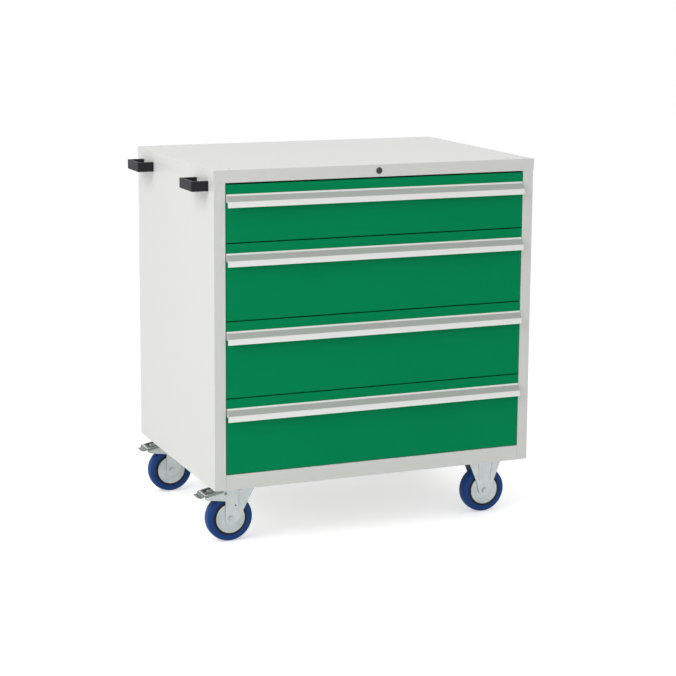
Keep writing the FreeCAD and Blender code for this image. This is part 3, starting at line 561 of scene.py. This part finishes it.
fork = dict(
    inner=0.0195, outer=0.0220, foot=0.0148, corner=0.0022, edge=0.0005,
    cheek=[(-0.015, 0.0475), (0.015, 0.0475), (0.0335, 0.0825), (0.0655, 0.1415), (0.0655, 0.145),
           (-0.008, 0.145), (-0.0095, 0.1415), (-0.0715, 0.126), (-0.071, 0.121), (-0.065, 0.118),
           (-0.015, 0.111)],
    rib=[(0.0215, 0.086), (0.0285, 0.086), (0.0285, 0.139), (0.0215, 0.139)],
    ribHeight=0.0018, ribEdge=0.0014, ribCorner=0.0024,
    rivetRadius=0.0024, rivetHeight=0.0010, rivetPlace=(0.0125, 0, 0.098),
    web=[(-0.0055, 0.1415), (0.066, 0.1415), (0.066, 0.145), (-0.0055, 0.145)], webEdge=0.0008,
    # section of the ball race's crown, as (height, radius)
    crown=[(0.1395, 0.0065), (0.1395, 0.024), (0.1405, 0.0285), (0.1430, 0.0300), (0.1450, 0.0300),
           (0.1450, 0.0065)], crownSteps=72)
footCorners = (0, 1)  # the first two corners of a cheek or leg, which round into its foot


def makeSwivelFork(name, place):
    bm = bmesh.new()
    rivets = bmesh.new()
    ground = Vector((place.x, place.y, 0))
    for side in (-1, 1):
        near, far = onSide(side, fork["inner"], fork["outer"])
        joinInto(bm, platePart(fork["cheek"], near, far, fork["edge"], fork["corner"], footCorners,
                               fork["foot"]), ground)
        near, far = onSide(side, fork["outer"], fork["outer"] + fork["ribHeight"])
        joinInto(bm, platePart(fork["rib"], near, far, fork["ribEdge"], fork["ribCorner"]), ground)
        near, far = onSide(side, fork["outer"], fork["outer"] + fork["rivetHeight"])
        joinInto(rivets, rivetPart(fork["rivetRadius"], near, far), ground + Vector(fork["rivetPlace"]))
    joinInto(bm, platePart(fork["web"], -fork["inner"], fork["inner"], fork["webEdge"]), ground)
    joinInto(bm, lathePart(fork["crown"], fork["crownSteps"], "Z"), ground + Vector((wheel["trail"], 0, 0)))
    finishPiece(bm, f"shown_{name}_fork", f"{name}_fork")
    finishPiece(rivets, f"shown_{name}_rivets", f"{name}_fork", "rivetSteel")


# brake pedals, measured from their pivot

pedal = dict(
    pivotBack=0.0145, pivotHeight=0.131, sheet=0.0016, edge=0.0004, flange=0.0045, windowFlange=0.0022,
    # rows from the pivot to the toe, as (x, z, share of the full width)
    rows=[(-0.008, 0.0098, 1.0), (-0.0170, 0.0081, 1.0), (-0.0520, 0.0014, 1.0), (-0.0590, 0.0001, 1.0),
          (-0.0625, -0.0052, 0.88), (-0.0690, -0.0068, 0.74), (-0.0760, -0.0044, 0.60)],
    columns=(-0.028, -0.0215, 0.0215, 0.028),
    tongue=[(-0.0160, 0.0052), (-0.0530, -0.0018), (-0.0530, -0.0004), (-0.0160, 0.0066)],
    tongueHalf=0.0212, fineEdge=0.0003,
    highlightBarLevel=0.0017, highlightBarDepth=0.0025, highlightBarWidth=0.0025,
    # bars along the pedal as (near, far, inner, outer, height), and across it as (far, half, height); their
    # bright zinc is a painted highlight on the frame
    highlightBarsAlong=[(-0.0090, -0.0590, 0.0258, 0.0276, 0.0006), (-0.0255, -0.0430, 0.0065, 0.0090, 0.0010)],
    highlightBarsAcross=[(-0.0590, 0.0258, 0.0010), (-0.0430, 0.0090, 0.0010), (-0.0230, 0.0090, 0.0010)],
    arm=[(-0.005, -0.005), (0.005, -0.005), (0.005, 0.003), (-0.009, 0.0086), (-0.012, 0.0082),
         (-0.009, -0.002)],
    armInner=0.0125, armOuter=0.015, armCorner=0.0008,
    pinRadius=0.0025, pinEnd=0.0222, pinEdge=0.0002, pinHeadRadius=0.0038, pinHeadEnd=0.0236)


def slopedBar(near, far, across, raised):
    # a bar along the slope of the pedal's frame, standing proud of it, in bright zinc as a painted
    # highlight
    (startX, startZ), (endX, endZ) = pedal["rows"][0][:2], pedal["rows"][3][:2]
    slope = (startZ - endZ) / (startX - endX)
    corners = ((near, -pedal["highlightBarDepth"]), (far, -pedal["highlightBarDepth"]), (far, raised), (near, raised))
    outline = [(x, startZ + pedal["highlightBarLevel"] + (x - startX) * slope + up) for x, up in corners]
    return platePart(outline, across[0], across[1], pedal["fineEdge"])


def foldDown(plate, edges, depth):
    grown = bmesh.ops.extrude_edge_only(plate, edges=edges)
    lowered = [item for item in grown["geom"] if isinstance(item, bmesh.types.BMVert)]
    bmesh.ops.translate(plate, verts=lowered, vec=(0, 0, -depth))


def pedalPlate():
    # pressed plate with a window, flanges down its sides and a narrowing toe
    rows, columns = pedal["rows"], pedal["columns"]
    slack = 0.0001
    plate = bmesh.new()
    grid = bmesh.ops.create_grid(plate, x_segments=len(rows) - 1, y_segments=len(columns) - 1, size=1)
    for vert in grid["verts"]:
        x, z, share = rows[round((1 - vert.co.x) / 2 * (len(rows) - 1))]
        column = columns[round((vert.co.y + 1) / 2 * (len(columns) - 1))]
        vert.co = Vector((x, column * share, z))

    def inWindow(point):
        return abs(point.y) < columns[2] + slack and rows[2][0] - slack < point.x < rows[1][0] + slack

    window = [f for f in plate.faces if inWindow(f.calc_center_median())]
    bmesh.ops.delete(plate, geom=window, context="FACES")
    sides = [e for e in plate.edges if e.is_boundary
             and all(abs(v.co.y) > columns[3] - slack for v in e.verts)]
    foldDown(plate, sides, pedal["flange"])
    windowEdges = [e for e in plate.edges if e.is_boundary and all(inWindow(v.co) for v in e.verts)]
    foldDown(plate, windowEdges, pedal["windowFlange"])
    bmesh.ops.solidify(plate, geom=plate.faces[:], thickness=-pedal["sheet"])
    bmesh.ops.recalc_face_normals(plate, faces=plate.faces)
    bevelEdges(plate, pedal["edge"])
    return plate


def makePedal(name, place):
    pivot = Vector((place.x - pedal["pivotBack"], place.y, pedal["pivotHeight"]))
    bm = bmesh.new()
    joinInto(bm, pedalPlate(), pivot)
    # the tongue closes the window from below
    joinInto(bm, platePart(pedal["tongue"], -pedal["tongueHalf"], pedal["tongueHalf"], pedal["fineEdge"]),
             pivot)
    # raised bars in bright zinc: painted highlights along and across the pedal's frame
    highlightBars = bmesh.new()
    for side in (-1, 1):
        for near, far, inner, outer, raised in pedal["highlightBarsAlong"]:
            joinInto(highlightBars, slopedBar(near, far, onSide(side, inner, outer), raised), pivot)
    for far, half, raised in pedal["highlightBarsAcross"]:
        joinInto(highlightBars, slopedBar(far + pedal["highlightBarWidth"], far, (-half, half), raised), pivot)
    for side in (-1, 1):
        near, far = onSide(side, pedal["armInner"], pedal["armOuter"])
        joinInto(bm, platePart(pedal["arm"], near, far, pedal["edge"], pedal["armCorner"]), pivot)
    joinInto(bm, headPart(pedal["pinRadius"], -pedal["pinEnd"], pedal["pinEnd"], 28, edge=pedal["pinEdge"]),
             pivot)
    for side in (-1, 1):
        near, far = onSide(side, pedal["pinEnd"], pedal["pinHeadEnd"])
        joinInto(bm, rivetPart(pedal["pinHeadRadius"], near, far), pivot)
    # the plate, tongue, arms and pin take the dark zinc, a painted dark reflection
    finishPiece(bm, f"shown_{name}_brake_pedal", f"{name}_brake_pedal")
    finishPiece(highlightBars, f"shown_{name}_pedal_highlight_bars", f"{name}_brake_pedal", "highlightZinc")


def makeSwivelCastor(name, place):
    makeSwivelFork(name, place)
    makePedal(name, place)
    bm = bmesh.new()
    for side in (-1, 1):
        joinInto(bm, guardPart(side), place)
    finishPiece(bm, f"shown_{name}_guards", f"{name}_guards")
    bm = bmesh.new()
    addAxle(bm, place)
    finishPiece(bm, f"shown_{name}_axle", f"{name}_axle")


# forks of the fixed castors, with the cheeks' span and foot of the swivel forks

fixedFork = dict(
    corner=0.002,
    leg=[(-0.015, 0.0475), (0.015, 0.0475), (0.026, 0.0845), (0.047, 0.1415), (0.047, 0.1515),
         (-0.047, 0.1515), (-0.047, 0.1415), (-0.024, 0.0845)],
    ribs=[[(-0.0175, 0.088), (-0.0125, 0.088), (-0.0145, 0.147), (-0.0205, 0.147)],
          [(0.0150, 0.088), (0.0210, 0.088), (0.0285, 0.147), (0.0215, 0.147)]],
    ribHeight=0.0012, ribEdge=0.001, ribCorner=0.0022,
    plate=[(-0.0525, 0.1515), (0.0525, 0.1515), (0.0525, 0.155), (-0.0525, 0.155)],
    plateHalf=0.0425, plateEdge=0.0007)


def makeFixedForks(places):
    bm = bmesh.new()
    discs = bmesh.new()
    axles = bmesh.new()
    for place in places:
        ground = Vector((place.x, place.y, 0))
        for side in (-1, 1):
            near, far = onSide(side, fork["inner"], fork["outer"])
            joinInto(bm, platePart(fixedFork["leg"], near, far, fork["edge"], fixedFork["corner"],
                                   footCorners, fork["foot"]), ground)
            near, far = onSide(side, fork["outer"], fork["outer"] + fixedFork["ribHeight"])
            for outline in fixedFork["ribs"]:
                rib = platePart(outline, near, far, fixedFork["ribEdge"], fixedFork["ribCorner"])
                joinInto(bm, rib, ground)
            joinInto(discs, guardPart(side), place)
        half = fixedFork["plateHalf"]
        joinInto(bm, platePart(fixedFork["plate"], -half, half, fixedFork["plateEdge"]), ground)
        addAxle(axles, place)
    finishPiece(bm, "shown_fixed_castor_forks", "fixed_castor_forks")
    finishPiece(discs, "shown_fixed_castor_guards", "fixed_castor_guards")
    finishPiece(axles, "shown_fixed_castor_axles", "fixed_castor_axles")


# bolts through the castor plates: head, shank and nut as (radius, low, high, sides)

castorBolt = dict(fromMiddleX=0.040, fromMiddleY=0.030, parts=[
    (0.0065, 0.1465, 0.1515, 6), (0.0040, 0.1515, 0.1695, 24), (0.0065, 0.1585, 0.1645, 6)])


def makeCastorBolts():
    bm = bmesh.new()
    for place in castors.values():
        plateX = middle.x + math.copysign(wheel["along"], place.x - middle.x)
        for dx in (-castorBolt["fromMiddleX"], castorBolt["fromMiddleX"]):
            for dy in (-castorBolt["fromMiddleY"], castorBolt["fromMiddleY"]):
                for radius, low, high, sides in castorBolt["parts"]:
                    joinInto(bm, headPart(radius, low, high, sides, "Z"), (plateX + dx, place.y + dy, 0))
    finishPiece(bm, "shown_castor_bolts", "castor_bolts")


for name, place in castors.items():
    makeWheel(name, place)
for name in ("front_left", "rear_left"):
    makeSwivelCastor(name, castors[name])
makeFixedForks([castors["front_right"], castors["rear_right"]])
makeCastorBolts()
print("castors made")


# push handles on the left side

pushHandle = dict(reach=0.045, length=0.098, height=0.026, wall=0.009, side=0.450, edge=0.0012,
                  corner=0.0018)


def makePushHandle(name):
    low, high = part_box(name)
    half = pushHandle["length"] / 2
    wall, reach = pushHandle["wall"], pushHandle["reach"]
    outline = [(0, -half), (-reach, -half), (-reach, half), (0, half), (0, half - wall),
               (-reach + wall, half - wall), (-reach + wall, -half + wall), (0, -half + wall)]
    part = platePart(outline, 0, pushHandle["height"], pushHandle["edge"], pushHandle["corner"])
    bm = bmesh.new()
    joinInto(bm, rotated(part, 90, "X"), (middle.x - pushHandle["side"], (low.y + high.y) / 2, low.z))
    finishPiece(bm, "shown_" + name, name)


makePushHandle("push_handle_front")
makePushHandle("push_handle_rear")
print("push handles made")


# lock barrel: a fine bore in its face, closed by a flat bar a little way in

lockBarrel = dict(
    drop=0.016, steps=72,
    section=[(0.0, 0.0009), (0.0, 0.0064), (-0.0001, 0.0070), (0.0002, 0.0079), (0.0008, 0.0085),
             (0.0252, 0.0085), (0.0252, 0.0009)],
    bar=[(-0.0009, -0.0045), (0.0009, -0.0045), (0.0009, 0.0045), (-0.0009, 0.0045)],
    barNear=0.0010, barFar=0.0060, barEdge=0.0001)


def makeLock():
    place = Vector((middle.x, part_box("lock_barrel")[0].y, coverHigh.z - lockBarrel["drop"]))
    bm = bmesh.new()
    joinInto(bm, lathePart(lockBarrel["section"], lockBarrel["steps"]), place)
    joinInto(bm, platePart(lockBarrel["bar"], lockBarrel["barNear"], lockBarrel["barFar"],
                           lockBarrel["barEdge"]), place)
    finishPiece(bm, "shown_lock_barrel", "lock_barrel")


makeLock()
print("lock made")


# floor, light and camera

studio = dict(floorSize=400.0, floorColor=(0.86, 0.86, 0.86), floorLift=0.48, worldLight=0.60,
              lampsAimAt=(0, 0, 0.5))
lamps = {
    "keyLamp": dict(place=(-3.8, -1.3, 3.3), power=95.0, size=3.0),
    "fillLamp": dict(place=(-0.5, -4.5, 1.4), power=9.0, size=3.0),
    "topLamp": dict(place=(1.7, 1.6, 3.3), power=13.0, size=2.5),
}
view = dict(place=(-1.969, -4.748, 1.510), turn=22.76, tilt=9.46, roll=0.41, lens=100.5, shift=-0.1006)


def cameraSeen(tree):
    # 1 for what the camera sees directly, in a shiny surface or through glass
    path = tree.nodes.new("ShaderNodeLightPath")
    seen = mathNode(tree, "ADD", path.outputs["Is Camera Ray"], path.outputs["Is Glossy Ray"])
    return mathNode(tree, "MINIMUM", mathNode(tree, "ADD", seen, path.outputs["Is Transmission Ray"]), 1.0)


def makeFloor():
    bm = bmesh.new()
    bmesh.ops.create_grid(bm, x_segments=1, y_segments=1, size=studio["floorSize"] / 2)
    mesh = bpy.data.meshes.new("floor")
    bm.to_mesh(mesh)
    bm.free()
    floor = bpy.data.objects.new("floor", mesh)
    scene.collection.objects.link(floor)
    material, tree, shader = newMaterial("floorPale")
    shader.inputs["Base Color"].default_value = (*studio["floorColor"], 1)
    shader.inputs["Roughness"].default_value = 0.9
    shader.inputs["Specular IOR Level"].default_value = 0.1
    shader.inputs["Emission Color"].default_value = (1, 1, 1, 1)
    lift = mathNode(tree, "MULTIPLY", cameraSeen(tree), studio["floorLift"])
    tree.links.new(lift, shader.inputs["Emission Strength"])
    mesh.materials.append(material)


def makeWorld():
    world = bpy.data.worlds.new("studio")
    scene.world = world
    world.use_nodes = True
    tree = world.node_tree
    background = tree.nodes["Background"]
    background.inputs["Color"].default_value = (1, 1, 1, 1)
    shown = mathNode(tree, "MULTIPLY", cameraSeen(tree), 1.0 - studio["worldLight"])
    tree.links.new(mathNode(tree, "ADD", shown, studio["worldLight"]), background.inputs["Strength"])


def makeLamp(name, place, power, size):
    lamp = bpy.data.lights.new(name, "AREA")
    lamp.energy = power
    lamp.size = size
    holder = bpy.data.objects.new(name, lamp)
    holder.location = place
    holder.rotation_mode = "QUATERNION"
    holder.rotation_quaternion = (Vector(studio["lampsAimAt"]) - Vector(place)).to_track_quat("-Z", "Y")
    scene.collection.objects.link(holder)


def makeCamera():
    data = bpy.data.cameras.new("camera")
    data.lens = view["lens"]
    data.sensor_width = 36.0
    data.shift_y = view["shift"]
    camera = bpy.data.objects.new("camera", data)
    camera.location = middle + Vector(view["place"])
    turn, tilt = math.radians(view["turn"]), math.radians(view["tilt"])
    forward = Vector((math.sin(turn) * math.cos(tilt), math.cos(turn) * math.cos(tilt), -math.sin(tilt)))
    aim = forward.to_track_quat("-Z", "Y").to_matrix().to_4x4()
    camera.rotation_mode = "QUATERNION"
    camera.rotation_quaternion = (aim @ Matrix.Rotation(math.radians(view["roll"]), 4, "Z")).to_quaternion()
    scene.collection.objects.link(camera)
    scene.camera = camera


makeFloor()
makeWorld()
for name, lamp in lamps.items():
    makeLamp(name, **lamp)
makeCamera()
print("studio ready")
